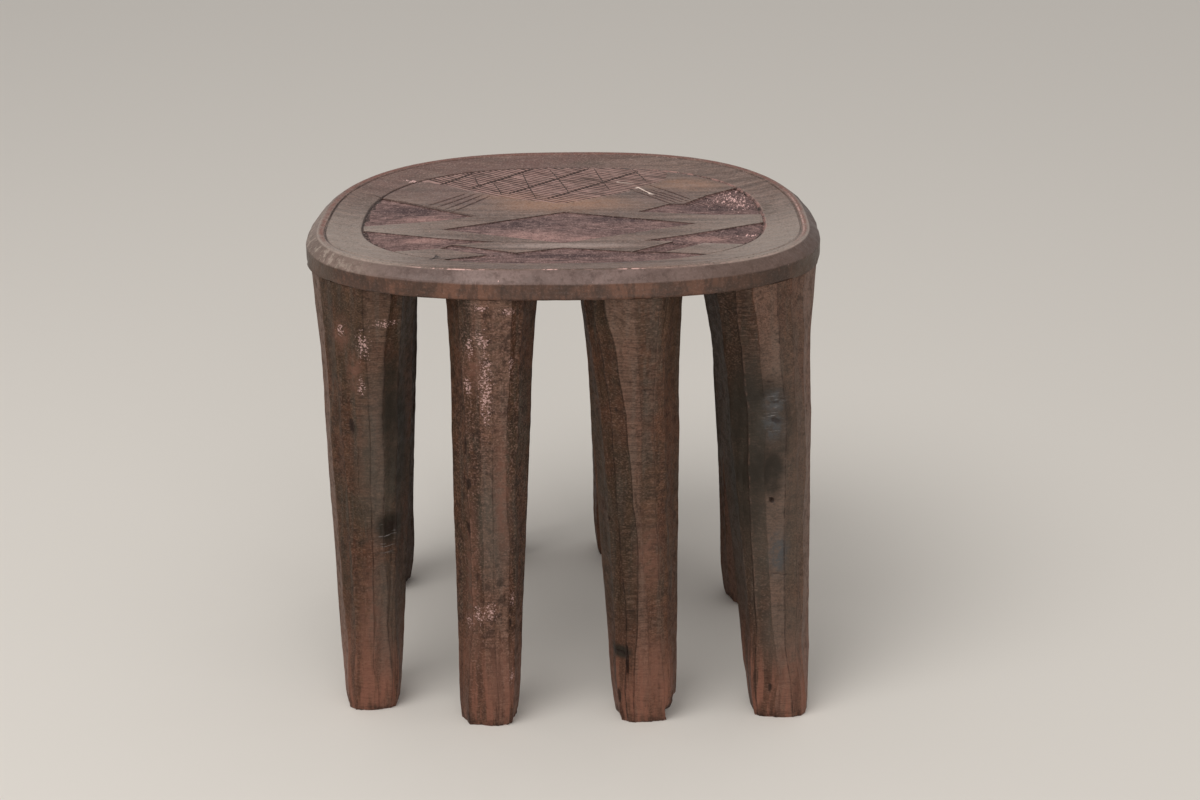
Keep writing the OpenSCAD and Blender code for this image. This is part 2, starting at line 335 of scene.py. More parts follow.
# Each sunk ground has its corners on the field, the slant of its chisel strokes in degrees, and
# the spacing of the strokes in millimetres.
GROUNDS = {
    "diamond": ([(-0.60, -0.33), (0, -0.62), (0.66, -0.25), (0, 0.01)], -9, 2.6),
    "left": ([(-1.06, 0.43), (-0.45, -0.07), (-0.63, -0.16), (-1.08, -0.28)], 4, 2.5),
    "right": ([(0.60, 0.15), (0.73, 0.34), (1.02, 0.63), (1.10, -0.02), (0.86, 0.06)], -52, 3.6),
    "right_sliver": ([(0.37, 0), (0.53, 0.16), (0.64, 0.16), (0.86, 0.09), (1.10, 0.01), (1.10, -0.06),
                      (0.98, -0.08), (0.74, -0.08)], -8, 2.8),
    "front_left": ([(-1.06, -0.31), (-0.62, -0.49), (-0.33, -0.58), (-0.53, -0.63), (-0.59, -0.70),
                    (-0.81, -0.75), (-1.00, -0.84)], 12, 2.5),
    "front_right": ([(1.06, -0.19), (0.62, -0.46), (0.39, -0.58), (0.53, -0.60), (0.51, -0.64),
                     (0.68, -0.64), (0.89, -0.67), (1.04, -0.70)], -38, 3.2),
    "strap_left": ([(-0.59, -0.70), (-0.53, -0.63), (-0.22, -0.79), (-0.34, -0.84)], -18, 2.6),
    "strap_right": ([(0.53, -0.60), (0.68, -0.64), (0.49, -0.80), (0.33, -0.79)], 24, 2.6),
    "crescent": ([(-0.60, -0.92), (-0.34, -0.82), (-0.22, -0.79), (0, -0.70), (0.34, -0.79),
                  (0.49, -0.80), (0.72, -0.85), (0.60, -1.10), (-0.50, -1.10)], 3, 2.7),
}


def prism(outline, low, high, draft=0.0):
    """A body with upright walls over a flat outline, narrower by the draft at its foot."""
    bm = bmesh.new()
    verts = [bm.verts.new((*p, high)) for p in outline]
    face = bm.faces.new(verts)
    made = bmesh.ops.extrude_face_region(bm, geom=[face])
    centre = sum((Vector((*p, 0)) for p in outline), Vector()) / len(outline)
    for vert in [g for g in made["geom"] if isinstance(g, bmesh.types.BMVert)]:
        inward = centre - vert.co
        inward.z = 0
        vert.co += inward.normalized() * draft
        vert.co.z = low
    return bm


def chiselled_slab(outline, slant, spacing, seed, crest, valley, length=0.009, bow=0.0):
    """A slab over the outline's box with its underside in rows of chisel strokes.
    The crests and valleys between the rows are heights over the field, in millimetres."""
    spin = Matrix.Rotation(radians(slant), 2)
    back = spin.transposed()
    local = [back @ p for p in outline]
    low = Vector((min(p.x for p in local), min(p.y for p in local)))
    high = Vector((max(p.x for p in local), max(p.y for p in local)))
    margin = 0.004
    wide, deep = high.x - low.x + 2 * margin, high.y - low.y + 2 * margin
    half, step = spacing * 0.0005, 0.0042
    rows = max(4, int(ceil(deep / half)))
    steps = max(4, int(ceil(wide / step)))
    bm = bmesh.new()
    bmesh.ops.create_grid(bm, x_segments=steps, y_segments=rows, size=1)
    bm.verts.ensure_lookup_table()
    for j in range(rows + 1):
        for i in range(steps + 1):
            x = low.x - margin + i * wide / steps
            y = low.y - margin + j * deep / rows
            y += 0.0007 * drift(x * 45, j * 0.35, seed) + half * 0.5 * drift(x * 160, j * 3.1, seed + 5)
            y += bow * x * x
            if j % 2:
                z = valley - 0.9 * drift(x / length, j * 5.3, seed + 1)
            else:
                z = crest + 0.6 * drift(x / length, j * 4.7, seed + 2)
            p = spin @ Vector((x, y))
            bm.verts[j * (steps + 1) + i].co = (p.x, p.y, FIELD_Z + z * 0.001)
    made = bmesh.ops.extrude_face_region(bm, geom=bm.faces[:])
    for vert in [g for g in made["geom"] if isinstance(g, bmesh.types.BMVert)]:
        vert.co.z = FIELD_Z + 0.004
    return bm


FIELD_OUTLINE = [field_edge(2 * pi * i / 128, 0.0012) for i in range(128)]


def chisel(mesh, outline, slab_bm, draft):
    """Takes away what lies in the slab, inside the outline and inside the field."""
    slab = bpy.data.meshes.new("slab")
    bmesh.ops.recalc_face_normals(slab_bm, faces=slab_bm.faces)
    slab_bm.to_mesh(slab)
    slab_bm.free()
    low, high = FIELD_Z - 0.006, FIELD_Z + 0.003
    slab = carve(slab, prism(outline, low, high, draft), "INTERSECT")
    slab = carve(slab, prism(FIELD_OUTLINE, low, high), "INTERSECT")
    ground = bmesh.new()
    ground.from_mesh(slab)
    return carve(mesh, ground)


# The grounds lie 1.6 mm below the field on the whole, their crests higher and their valleys lower.
SUNK_MM, CREST_MM, VALLEY_MM = 1.6, 0.5, -0.8
for seed, (corners, slant, spacing) in enumerate(GROUNDS.values()):
    outline = [on_field(p) for p in corners]
    slab_bm = chiselled_slab(outline, slant, spacing, seed * 3.7, CREST_MM - SUNK_MM, VALLEY_MM - SUNK_MM)
    top_mesh = chisel(top_mesh, outline, slab_bm, draft=0.0006)


# The lattice at the back: a fan of slanting strokes, crossed by heavy cuts one way and fine cuts the
# other. Its lower edge steps down to the middle and up again.
LATTICE = [(-0.82, 0.74), (-0.645, 0.62), (-0.565, 0.53), (-0.38, 0.37), (-0.225, 0.29), (-0.06, 0.20),
           (0.02, 0.20), (0.125, 0.28), (0.31, 0.42), (0.40, 0.54), (0.53, 0.70), (0.56, 1.10),
           (-0.82, 1.10)]
lattice_outline = [on_field(p) for p in LATTICE]
slab_bm = chiselled_slab(lattice_outline, slant=-29, spacing=4.6, seed=41, crest=0.30, valley=-0.85,
                         length=0.022, bow=0.95)
top_mesh = chisel(top_mesh, lattice_outline, slab_bm, draft=0.0)

# The heavy cuts, each from end to end on the field and with its width in millimetres.
MAIN_LINES = [
    ((-1.00, 0.385), (-0.42, -0.08), 2.4), ((0.58, 0.13), (1.02, -0.01), 2.2),
    ((-0.49, 0.90), (-0.66, 0.62), 3.6), ((-0.17, 0.99), (-0.50, 0.53), 4.2),
    ((0.13, 0.985), (-0.30, 0.40), 3.8), ((0.395, 0.91), (-0.11, 0.27), 3.8),
    ((0.43, 0.59), (0.65, 0.24), 2.6),
]
# The fine cuts across the lattice, from end to end.
FINE_LINES = [
    ((-0.375, 0.64), (-0.325, 0.38)), ((-0.23, 0.88), (-0.14, 0.27)), ((-0.09, 0.97), (0.02, 0.43)),
    ((0.15, 0.99), (0.235, 0.46)), ((0.35, 0.97), (0.43, 0.64)), ((-0.48, 0.80), (-0.44, 0.55)),
]
main_cuts = bmesh.new()
for a, b, width in MAIN_LINES:
    stroke(main_cuts, on_field(a), on_field(b), width * 0.001, depth=0.0019, steps=8, bend=0.0008)
top_mesh = carve(top_mesh, main_cuts)
fine_cuts = bmesh.new()
for i, (a, b) in enumerate(FINE_LINES):
    bend = 0.0007 * (-1) ** i
    stroke(fine_cuts, on_field(a), on_field(b), width=0.0016, depth=0.0007, steps=8, bend=bend)
# Two bands of four short lines, left and right of the middle, each by the ends of its first and last.
LINE_BANDS = [((-0.50, 0.44), (-0.70, 0.16), (-0.38, 0.38), (-0.56, 0.04)),
              ((0.44, 0.48), (0.64, 0.20), (0.35, 0.46), (0.55, 0.15))]
for i in range(4):
    t = i / 3
    for a, b, c, d in LINE_BANDS:
        start = on_field(a).lerp(on_field(c), t)
        end = on_field(b).lerp(on_field(d), t)
        stroke(fine_cuts, start, end, width=0.0030, depth=0.0013, steps=6, bend=0.0005)
top_mesh = carve(top_mesh, fine_cuts)

# Scratches and nicks: both ends, the width, the depth and the height of the middle, and how bright
# the wood is in them, from -1 to 1.
SCRATCHES = [
    ((0.0605, 0.0770), (0.0722, 0.0540), 0.0022, 0.0007, FIELD_Z, 1.0),
    ((0.0430, 0.0935), (0.0600, 0.0865), 0.0016, 0.0005, FIELD_Z, 0.6),
    ((-0.0995, -0.1300), (-0.0955, -0.1175), 0.0030, 0.0030, FIELD_Z + 0.0022, -1.0),
    ((-0.0950, -0.1270), (-0.0740, -0.1290), 0.0012, 0.0016, FIELD_Z + 0.0014, -0.5),
]
scratches = bmesh.new()
for start, end, width, depth, z, bright in SCRATCHES:
    stroke(scratches, start, end, width, depth, z=z, steps=5)
top_mesh = carve(top_mesh, scratches)


def inside(p, outline):
    """Whether a place lies inside a closed outline: a line to its right meets an odd number of sides."""
    hits = 0
    for a, b in zip(outline, outline[1:] + outline[:1]):
        if (a.y > p.y) != (b.y > p.y) and p.x < a.x + (p.y - a.y) * (b.x - a.x) / (b.y - a.y):
            hits += 1
    return hits % 2 == 1


def scratch_at(p):
    """How bright or dark a scratch makes a place."""
    for start, end, width, depth, z, bright in SCRATCHES:
        a, along = Vector(start), Vector(end) - Vector(start)
        t = min(1, max(0, (p - a).dot(along) / along.length_squared))
        away = (a + along * t - p).length
        if away < width / 2:
            return bright * (1 - 2 * away / width)
    return 0


# Each vertex of the top is marked with how far it lies inside the rim in centimetres, how near it
# is to the edge of the field, how deep it lies in a sunk ground or in a single knife cut, whether a
# scratch is there, and whether it lies in the lattice.
ground_outlines = [[on_field(p) for p in corners] for corners, slant, spacing in GROUNDS.values()]
TOP_MARKS = ("inset", "step", "sunk", "cut", "scratch", "hatched")
for name in TOP_MARKS:
    top_mesh.attributes.new(name, "FLOAT", "POINT")
layers = [top_mesh.attributes[name].data for name in TOP_MARKS]
for i, vert in enumerate(top_mesh.vertices):
    p = vert.co
    rim_reach = top_edge(atan2(p.y + TOP_FWD, p.x), 0) + Vector((0, TOP_FWD))
    inset = rim_reach.length - hypot(p.x, p.y + TOP_FWD)
    field_reach = field_edge(atan2(p.y + FIELD_FWD, p.x), 0) + Vector((0, FIELD_FWD))
    within = field_reach.length - hypot(p.x, p.y + FIELD_FWD)
    depth = max(0, FIELD_Z - p.z) if within > 0.0002 and p.z > UNDER_Z + 0.01 else 0
    in_ground = within > 0.0023 and any(inside(p.xy, outline) for outline in ground_outlines)
    values = (inset * 100, max(0, 1 - abs(within - 0.0006) / 0.0012), depth / 0.002 if in_ground else 0,
              0 if in_ground else depth / 0.0009, scratch_at(p.xy) if p.z > UNDER_Z + 0.01 else 0,
              1 if within > 0.0012 and inside(p.xy, lattice_outline) else 0)
    for layer, value in zip(layers, values):
        layer[i].value = value
top_mesh.set_sharp_from_angle(angle=radians(SHARP_DEG))


def node(tree, kind, inputs=(), output=0, **settings):
    """Adds a shader node, sets or links its inputs by name or number, and returns one output."""
    made = tree.nodes.new(kind)
    for key, value in settings.items():
        setattr(made, key, value)
    for key, value in dict(inputs).items():
        if isinstance(value, bpy.types.NodeSocket):
            tree.links.new(value, made.inputs[key])
        else:
            made.inputs[key].default_value = value
    return made.outputs[output]


def join(operation, first, *others):
    """Joins one value to each of the others, a socket or a number, by a sum of one kind."""
    for other in others:
        first = node(first.id_data, "ShaderNodeMath", {0: first, 1: other}, operation=operation)
    return first


def times(*factors):
    return join("MULTIPLY", *factors)


def plus(*terms):
    return join("ADD", *terms)


def rgb(r, g, b):
    """A colour as a screen shows it, from 0 to 255, turned into the light that it stands for."""
    linear = [((c / 255 + 0.055) / 1.055) ** 2.4 if c > 10 else c / 255 / 12.92 for c in (r, g, b)]
    return (*linear, 1)


def coats(under, layers):
    """Lays colours over one another in turn. Each layer has the factors of its amount, which runs
    from 0 to 1, and its colour, as a screen shows it or as a socket."""
    for *factors, colour in layers:
        amount = times(*factors)
        over = colour if isinstance(colour, bpy.types.NodeSocket) else rgb(*colour)
        under = node(amount.id_data, "ShaderNodeMix", {0: amount, 6: under, 7: over}, output=2,
                     data_type="RGBA")
    return under


def span(value, low, high, start=0.0, end=1.0):
    """Brings a value from one span to another, smoothly and no further."""
    return node(value.id_data, "ShaderNodeMapRange", {0: value, 1: low, 2: high, 3: start, 4: end},
                interpolation_type="SMOOTHSTEP")


def between(value, low, high, soft):
    return times(span(value, low - soft, low + soft), span(value, high + soft, high - soft))


def cloud(place, scale, detail=4.0, roughness=0.55):
    """Smooth chance from about 0.3 to 0.7; the scale is one number, or one for each direction."""
    if not isinstance(scale, tuple):
        scale = (scale, scale, scale)
    tree = place.id_data
    place = node(tree, "ShaderNodeVectorMath", {0: place, 1: scale}, operation="MULTIPLY")
    return node(tree, "ShaderNodeTexNoise",
                {"Vector": place, "Scale": 1.0, "Detail": detail, "Roughness": roughness})


def mark(tree, name):
    return node(tree, "ShaderNodeAttribute", output=2, attribute_name=name)


def spots(place, where, softness):
    """A mask that is 1 at the middle of any of the spots, each a centre and its radii."""
    tree = place.id_data
    masks = []
    for centre, radii in where:
        away = node(tree, "ShaderNodeVectorMath", {0: place, 1: centre}, operation="SUBTRACT")
        away = node(tree, "ShaderNodeVectorMath", {0: away, 1: radii}, operation="DIVIDE")
        away = node(tree, "ShaderNodeVectorMath", {0: away}, output=1, operation="LENGTH")
        masks.append(span(away, 1.0, 1.0 - softness))
    return join("MAXIMUM", *masks)


def top_spots(place, where, softness, z=FIELD_Z, tall=20):
    """Spots on the top, each by its middle to the right and to the back, its half width and its half
    depth, in mm. They reach as far up and down as the height tells, also in mm, from their level."""
    return spots(place, [((x / 1000, y / 1000, z), (wide / 1000, deep / 1000, tall / 1000))
                         for x, y, wide, deep in where], softness)


def start_wood(name):
    """A material with its tree, its coordinates and the patterns that all the wood here shares: long
    streaks of grain from left to right, fine fibres, broad stains and small mottling."""
    material = bpy.data.materials.new(name)
    material.use_nodes = True
    tree = material.node_tree
    place = node(tree, "ShaderNodeTexCoord", output=3)
    sway = node(tree, "ShaderNodeTexNoise", {"Vector": place, "Scale": 9.0}, output=1)
    sway = node(tree, "ShaderNodeVectorMath", {0: sway, 1: (0.012, 0.012, 0.012)}, operation="MULTIPLY")
    bent = node(tree, "ShaderNodeVectorMath", {0: place, 1: sway}, operation="ADD")
    look = {
        "streak": cloud(bent, (9, 150, 150), 6.0, 0.62),
        "lines": cloud(bent, (22, 480, 480), 3.0, 0.6),
        "fibre": cloud(bent, (60, 1300, 1300), 3.0, 0.6),
        "stain": cloud(place, 17.0, 3.0, 0.5),
        "patina": cloud(place, 31.0, 5.0, 0.6),
        "mottle": cloud(place, 150.0, 6.0, 0.68),
        "grit": cloud(place, 620.0, 4.0, 0.65),
    }
    return material, tree, place, look


def finish_wood(material, colour, roughness, relief, shine):
    """Joins the colour and the roughness to the material's surface, with a fine relief in which each
    pattern of the wood has its own height in metres."""
    tree = material.node_tree
    height = plus(*(times(pattern, high) for pattern, high in relief))
    bump = node(tree, "ShaderNodeBump", {"Strength": 1.0, "Distance": 1.0, "Height": height})
    shader = tree.nodes["Principled BSDF"]
    tree.links.new(colour, shader.inputs["Base Color"])
    tree.links.new(roughness, shader.inputs["Roughness"])
    tree.links.new(bump, shader.inputs["Normal"])
    shader.inputs["Specular IOR Level"].default_value = shine


top_wood, tree, place, look = start_wood("wood_top")
streak, lines, fibre, stain, patina, mottle, grit = look.values()
inset, step, sunk, cut, scratch, hatched = (mark(tree, name) for name in TOP_MARKS)
along_x, along_y, height = (node(tree, "ShaderNodeSeparateXYZ", {0: place}, output=i) for i in range(3))
level = span(height, TOP_H - 0.0094, TOP_H - 0.0080)

# The plain wood: grey brown, redder towards the back left, with tan and pink where hands have worn it,
# and lighter at the front towards both sides, a painted sheen of the bright surroundings.
off_middle = node(tree, "ShaderNodeMath", {0: along_x}, operation="ABSOLUTE")
# Painted sheen: the front of the top is made lighter towards the left and the right.
painted_front_sheen = times(span(along_y, 0.06, -0.08), span(off_middle, 0.07, 0.16))
back_left = times(span(along_y, -0.02, 0.14), span(along_x, 0.09, -0.02))
pale = top_spots(place, [(-105, -78, 40, 16), (108, -84, 40, 16), (0, -94, 80, 10), (120, 8, 50, 12)], 0.8)
warm = top_spots(place, [(0, 24, 85, 36), (100, 80, 44, 32), (-45, 50, 40, 20)], 0.8)
worked = top_spots(place, [(81, 47, 30, 30), (-87, 38, 30, 24), (112, 18, 30, 18)], 0.6)
dull = top_spots(place, [(-158, 30, 18, 30), (-125, 75, 20, 14), (-60, 118, 28, 10), (20, 150, 30, 10),
                         (70, 105, 12, 12), (165, 0, 12, 30)], 0.9, z=TOP_H)
tone = coats(rgb(92, 73, 64), [
    (span(streak, 0.36, 0.64), (132, 108, 97)),
    (span(lines, 0.50, 0.66, 0, 0.45), (78, 58, 50)),
    (span(fibre, 0.52, 0.68, 0, 0.35), (74, 54, 46)),
    (painted_front_sheen, 0.66, (158, 144, 134)),
    (back_left, span(patina, 0.30, 0.66, 0.3, 0.9), (108, 77, 70)),
    (pale, span(mottle, 0.34, 0.60, 0.5, 0.9), (170, 149, 141)),
    (warm, span(patina, 0.35, 0.62, 0.35, 0.9), (152, 112, 88)),
    (worked, span(streak, 0.36, 0.60, 0.3, 0.65), (112, 84, 77)),
    (dull, span(mottle, 0.36, 0.62, 0.25, 0.85), (84, 70, 60)),
])

# The sunk grounds: worn pink on the crests of the chisel strokes, partly a painted highlight, and dark
# between them, partly painted shade in the hollows.
deep_place = top_spots(place, [(-40, -28, 56, 20), (45, -18, 50, 14), (-128, 10, 40, 20), (120, 10, 36, 14),
                               (128, -50, 30, 20), (0, -118, 60, 8)], 0.7)
worn = top_spots(place, [(-26, -66, 52, 24), (20, -74, 32, 16), (-110, -74, 26, 12), (112, -76, 26, 10),
                         (-110, -14, 30, 12)], 0.8)
ground = coats(rgb(148, 116, 110), [
    (span(sunk, 0.50, 0.78), (98, 74, 72)),
    # Painted shade, partly dark wood: the valleys between the strokes darken with their depth.
    (span(sunk, 0.84, 1.12), (44, 31, 31)),
    (span(mottle, 0.45, 0.64, 0, 0.45), (66, 48, 50)),
    (deep_place, span(mottle, 0.36, 0.60, 0.35, 0.9), (66, 47, 49)),
    (worn, span(mottle, 0.36, 0.62, 0.95, 0.5), (162, 126, 119)),
])
tone = coats(tone, [
    (span(sunk, 0.10, 0.34), ground),
    # Painted shade: a dark line down the walls of the sunk grounds.
    (between(sunk, 0.06, 0.42, 0.05), span(mottle, 0.34, 0.56, 0.35, 0.8), (48, 32, 29)),
])

# The knife cuts: dark at the bottom, partly painted shade, with worn pink crests between the strokes of
# the lattice, partly a painted highlight.
lattice = span(hatched, 0.5, 1.0)
crest_wear_and_highlight = times(span(cut, 0.30, 0.0), span(mottle, 0.34, 0.56, 0.5, 1), lattice)
tone = coats(tone, [
    # Painted highlight, partly wear: pink on the crests between the lattice strokes.
    (crest_wear_and_highlight, 0.9, (174, 136, 128)),
    # Painted shade, partly dark wood: the cuts darken with their depth.
    (span(cut, 0.10, 0.65), 0.9, (58, 39, 35)),
    (span(cut, 1.0, 1.6), 0.75, (36, 23, 20)),
])

# The rim: a red brown band, a smooth mauve bevel, a worn crest with a painted highlight, a red strip and
# a dark line, with painted highlights along the lines at the right and painted shade at the left edge
# of the field.
hewn = cloud(place, (230, 230, 70), 4.0, 0.65)
corner_heads = top_spots(place, [(-186, -104, 40, 46), (188, -98, 36, 50)], 0.5, z=UNDER_Z, tall=30)
side = coats(rgb(66, 46, 36), [
    (span(patina, 0.36, 0.64), (104, 70, 54)),
    (span(hewn, 0.46, 0.62, 0, 0.6), (54, 37, 28)),
    (span(streak, 0.50, 0.66, 0, 0.5), (52, 38, 29)),
    (span(mottle, 0.54, 0.68, 0, 0.3), (126, 86, 68)),
    (span(along_x, 0.08, 0.15, 0, 0.55), (46, 34, 25)),
    (corner_heads, span(streak, 0.36, 0.62, 0.9, 0.5), (74, 58, 46)),
])
left_end = span(along_x, -0.13, -0.185)
bevel = coats(rgb(96, 76, 70), [
    (span(stain, 0.38, 0.62), (122, 100, 94)),
    (span(hewn, 0.48, 0.62, 0, 0.4), (80, 61, 54)),
    (span(mottle, 0.50, 0.66, 0, 0.6), (76, 57, 51)),
    (span(along_x, 0.04, 0.13, 0, 0.6), (76, 58, 48)),
    (span(along_x, -0.11, -0.17, 0, 0.5), (124, 106, 94)),
    (left_end, span(mottle, 0.50, 0.60), 0.6, (172, 156, 144)),
    (left_end, span(hewn, 0.50, 0.62), 0.6, (88, 72, 62)),
])
red_strip = times(between(inset, 1.10, 1.46, 0.12), span(along_y, -0.13, -0.07), level)
groove = times(between(inset, 1.50, 1.66, 0.05), span(along_y, -0.145, -0.105),
               span(along_y, 0.06, 0.01, 0.3, 1), level, span(along_x, 0.08, 0.15, 1, 0.45))
handled = top_spots(place, [(-82, -166, 36, 20), (-4, -174, 20, 14), (52, -172, 12, 10), (-160, 70, 30, 40),
                            (155, 50, 40, 50)], 0.6, z=TOP_H)
# Painted highlight, partly wear: the lip's crest is pale where hands have worn it and where it catches the
# light.
lip_wear_and_highlight = times(between(inset, 0.92, 1.01, 0.04), level, plus(handled, 0.18),
                   span(mottle, 0.46, 0.58))
# Painted highlight: a pale pink line along the edge of the incised line at the right.
right_line_highlight = times(between(inset, 1.28, 1.40, 0.04), 0.75, level, span(mottle, 0.40, 0.58),
                   top_spots(place, [(180, -30, 30, 85)], 0.5, z=TOP_H))
# Painted highlight, partly wear: a pink line along the edge of the field at the right.
inner_edge_highlight = times(span(step, 0.0, 0.5), span(mottle, 0.42, 0.60), span(along_x, 0.05, 0.10),
                   span(along_y, -0.10, -0.04))
shade = times(step, span(along_x, -0.02, -0.10), span(along_y, -0.09, -0.03))
tone = coats(tone, [
    (span(inset, 0.98, 0.84), bevel),
    (span(height, TOP_H - 0.0086, TOP_H - 0.0100), side),
    (red_strip, span(mottle, 0.35, 0.6, 0.45, 0.9), (122, 78, 66)),
    (groove, span(patina, 0.3, 0.5, 0.4, 0.85), (52, 32, 26)),
    (lip_wear_and_highlight, (214, 172, 164)),
    (right_line_highlight, (206, 168, 158)),
    (inner_edge_highlight, 0.8, (172, 130, 122)),
    (shade, 0.25, (56, 40, 34)),
])

# Small marks: bright scratches, pink flecks that are painted glints on the chisel ridges, most of them at
# the right, and specks all over.
slanting = node(tree, "ShaderNodeVectorRotate", {"Vector": place, "Angle": radians(-62)},
                rotation_type="Z_AXIS")
flecks = cloud(slanting, (190, 560, 300), 3.0, 0.6)
glint_place = top_spots(place, [(138, 40, 34, 46), (146, 20, 20, 30), (146, -66, 16, 12),
                                (-128, 98, 26, 7)], 1.0, tall=10)
gritty = times(span(inset, 0.90, 1.10, 0.22, 1), span(lattice, 0, 1, 1, 0.35))
tone = coats(tone, [
    (span(scratch, 0.0, 0.7), (240, 218, 206)),
    (span(scratch, 0.0, -0.7), (30, 20, 18)),
    # Painted highlight: glints of light on the ridges of the chisel strokes.
    (span(plus(flecks, times(glint_place, 0.24)), 0.73, 0.78), (226, 184, 178)),
    (gritty, span(grit, 0.52, 0.66, 0, 0.42), (172, 144, 136)),
    (gritty, span(grit, 0.48, 0.34, 0, 0.52), (58, 43, 38)),
])

rough = plus(span(mottle, 0.35, 0.7, 0.42, 0.60), span(sunk, 0.1, 0.6, 0, 0.12))
relief = [(streak, 0.0004), (lines, 0.00018), (mottle, 0.0005), (grit, 0.00016)]
finish_wood(top_wood, tone, rough, relief, shine=0.4)
table_top = link_piece("table_top_carved", top_mesh, top_wood)
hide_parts("table_top")


# The eight legs.
# They are cut from the same block as the top, so the grain crosses them from side to side. Each is
# dressed with an adze into long uneven flats, thins towards a sawn foot and flares under the top.

UP = [0.350, 0.300, 0.250, 0.200, 0.150, 0.100, 0.050, 0.0]
UP_STEP = 0.050
# Each leg has its head's and its foot's centre, the direction of its width in degrees, its head's
# width, its stoutness and its taper. Where a leg faces the front, its ridges follow, each as a
# share from its left edge, -1, to its right edge, 1, at the heights above, and how light each flat
# is between them, which is mostly painted light and shade of the flat as it faces the light.
LEGS = {
    "leg_left_front": ((-0.1526, -0.1050), (-0.1584, -0.1316), 128.0, 0.1040, 1.04, 0.06, [
        (-0.88, -0.91, -0.89, -0.88, -0.87, -0.86, -0.84, -0.86),
        (-0.67, -0.68, -0.62, -0.57, -0.56, -0.54, -0.57, -0.55),
        (-0.37, -0.33, -0.27, -0.28, -0.22, -0.23, -0.18, -0.17),
        (-0.04, -0.02, 0.0, 0.02, 0.03, 0.05, 0.08, 0.06),
        (0.47, 0.37, 0.32, 0.37, 0.35, 0.47, 0.48, 0.5),
        (0.71, 0.69, 0.66, 0.66, 0.68, 0.7, 0.72, 0.76)], (0.6, -0.2, -0.2, 0.1, 0.3, -0.2, -0.3)),
    "leg_front_left": ((-0.0533, -0.1490), (-0.0627, -0.1633), 174.6, 0.0712, 0.94, -0.02, [
        (-0.72, -0.71, -0.66, -0.62, -0.57, -0.55, -0.57, -0.58),
        (-0.46, -0.37, -0.28, -0.27, -0.22, -0.2, -0.17, -0.05),
        (-0.01, 0.0, 0.03, 0.04, 0.07, 0.1, 0.11, 0.13),
        (0.44, 0.45, 0.37, 0.4, 0.5, 0.52, 0.53, 0.57),
        (0.7, 0.67, 0.66, 0.63, 0.72, 0.75, 0.76, 0.78)], (0.1, -0.4, 0.35, 0.4, -0.2, -0.1)),
    "leg_front_right": ((0.0521, -0.1465), (0.0615, -0.1582), 185.3, 0.0792, 1.02, 0.01, [
        (-0.92, -0.85, -0.76, -0.74, -0.73, -0.75, -0.75, -0.76),
        (-0.79, -0.63, -0.52, -0.5, -0.47, -0.41, -0.42, -0.43),
        (-0.54, -0.33, -0.18, -0.12, -0.03, -0.08, -0.15, -0.15),
        (0.05, 0.09, 0.14, 0.06, 0.09, 0.17, 0.13, 0.1),
        (0.51, 0.45, 0.41, 0.42, 0.47, 0.5, 0.49, 0.48),
        (0.72, 0.67, 0.65, 0.68, 0.71, 0.73, 0.72, 0.71)], (-0.3, -0.4, -0.4, 0.4, 0.2, 0.15, 0.2)),
    "leg_right_front": ((0.1507, -0.1063), (0.1691, -0.1511), 230.0, 0.1152, 1.06, 0.11, [
        (-0.72, -0.73, -0.71, -0.72, -0.7, -0.67, -0.66, -0.72),
        (-0.4, -0.39, -0.34, -0.42, -0.45, -0.48, -0.51, -0.55),
        (-0.14, -0.03, 0.02, -0.06, -0.06, -0.05, -0.03, 0.01),
        (0.33, 0.39, 0.46, 0.44, 0.37, 0.35, 0.31, 0.33),
        (0.59, 0.65, 0.69, 0.68, 0.68, 0.69, 0.63, 0.67),
        (0.81, 0.86, 0.87, 0.88, 0.82, 0.84, 0.83, 0.91)], (-0.7, -0.8, -0.5, 0.5, 0.3, 0.4, 0.7)),
    "leg_right_rear": ((0.1524, 0.0659), (0.1595, 0.0590), 291.9, 0.0800, 1.00, 0, [], ()),
    "leg_rear_right": ((0.0511, 0.1452), (0.0477, 0.1619), 350.7, 0.0776, 1.02, 0, [], ()),
    "leg_rear_left": ((-0.0680, 0.1422), (-0.0676, 0.1599), 15.1, 0.0760, 1.00, 0, [], ()),
    "leg_left_rear": ((-0.1545, 0.0631), (-0.1665, 0.0966), 69.2, 0.0800, 0.97, 0, [], ()),
}
# The feet at the two front corners are sawn square to the front, the others along their own width:
# the depth of the foot and of the ankle, and how far the foot turns in degrees.
CORNER_FEET = {"leg_left_front": (0.0435, 0.0465, -32), "leg_right_front": (0.049, 0.049, 38)}
# The depths and widths of a leg from its foot to its head, before its own stoutness and taper.
FOOT_D, ANKLE_D, KNEE_D, HEAD_D = 0.040, 0.049, 0.060, 0.066
FOOT_W, ANKLE_W, KNEE_W = 0.0455, 0.053, 0.066
ANKLE_H, FLARE_H = 0.062, 0.110


def thickness(z, foot, ankle, knee, head):
    """A leg's thickness at a height: a short toe, a straight shank and a flare into the top."""
    flare_z = UNDER_Z - FLARE_H
    if z < ANKLE_H:
        return ankle - (ankle - foot) * (1 - z / ANKLE_H) ** 2
    if z < flare_z:
        return ankle + (knee - ankle) * (z - ANKLE_H) / (flare_z - ANKLE_H)
    return knee + (head - knee) * ((z - flare_z) / FLARE_H) ** 2


